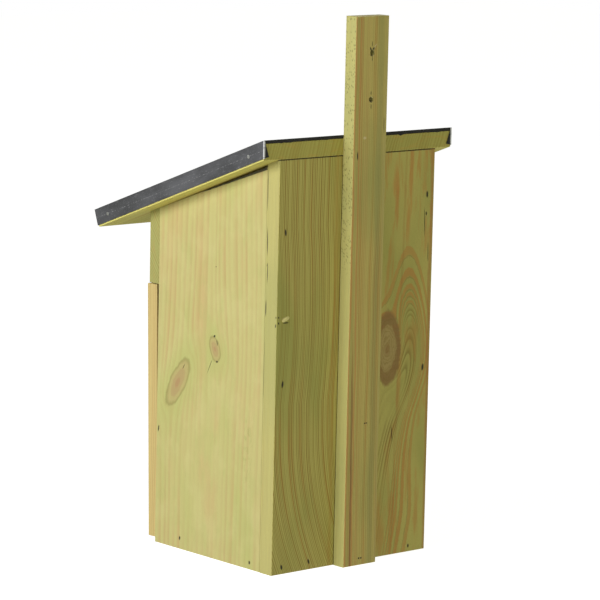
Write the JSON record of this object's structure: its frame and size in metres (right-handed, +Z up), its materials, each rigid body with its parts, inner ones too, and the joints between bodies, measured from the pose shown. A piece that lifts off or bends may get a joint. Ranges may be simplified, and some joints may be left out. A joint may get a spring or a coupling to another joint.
{
  "type": "birdhouse",
  "caption": "Wooden nest box with a sloped metal-covered roof, a bottom-hung front door and a batten for hanging it up.",
  "frame": {"origin": "bottom centre of the whole object's box, on the plane that the box stands on", "axes": "+Z up along the batten, -Y out of the front with the entrance hole, +X to the right seen from the front"},
  "size_m": [0.2426, 0.2732, 0.535],
  "materials": {
    "pine_back": "sawn and planed, pressure treated, grain upright",
    "pine_batten": "rough sawn, pressure treated",
    "pine_side": "planed, pressure treated, grain upright",
    "pine_floor": "planed, pressure treated",
    "pine_front": "planed, pressure treated, grain level",
    "pine_door": "planed, pressure treated, grain upright",
    "pine_roof": "sawn, pressure treated",
    "roofing_felt": "black bituminous felt, matt",
    "grey_sheet": "dark grey sheet, satin, scratched",
    "zinc_steel": "bright zinc plated",
    "nail_steel": "dull galvanised"
  },
  "bodies": {
    "house": {"back_board": "pine_back", "hanging_batten": "pine_batten", "right_side_board": "pine_side", "left_side_board": "pine_side", "floor_board": "pine_floor", "upper_front_board": "pine_front", "roof_board": "pine_roof", "roof_felt": "roofing_felt", "roof_cover": "grey_sheet", "hinge_right_floor_leaf": "zinc_steel", "hinge_right_pin": "zinc_steel", "hinge_left_floor_leaf": "zinc_steel", "hinge_left_pin": "zinc_steel", "back_nails": "nail_steel", "side_nails": "nail_steel", "upper_front_nails": "nail_steel", "roof_nails": "nail_steel", "batten_nails": "nail_steel", "batten_screws": "zinc_steel", "hinge_floor_screws": "zinc_steel", "cover_tacks": "nail_steel"},
    "door": {"door_board": "pine_door", "hinge_right_door_leaf": "zinc_steel", "hinge_left_door_leaf": "zinc_steel", "hinge_door_screws": "zinc_steel"},
    "catch": {"catch_hook": "zinc_steel"}
  },
  "joints": [
    {"name": "door_hinge", "type": "hinge", "parent": "house", "child": "door", "pos_m": [0, -0.07261, 0.00225], "axis": [1, 0, 0], "range_deg": [-1.6, 90]},
    {"name": "catch_turn", "type": "hinge", "parent": "house", "child": "catch", "pos_m": [0.06, -0.07336, 0.26798], "axis": [0, 1, 0], "range_deg": [0, 90]}
  ]
}
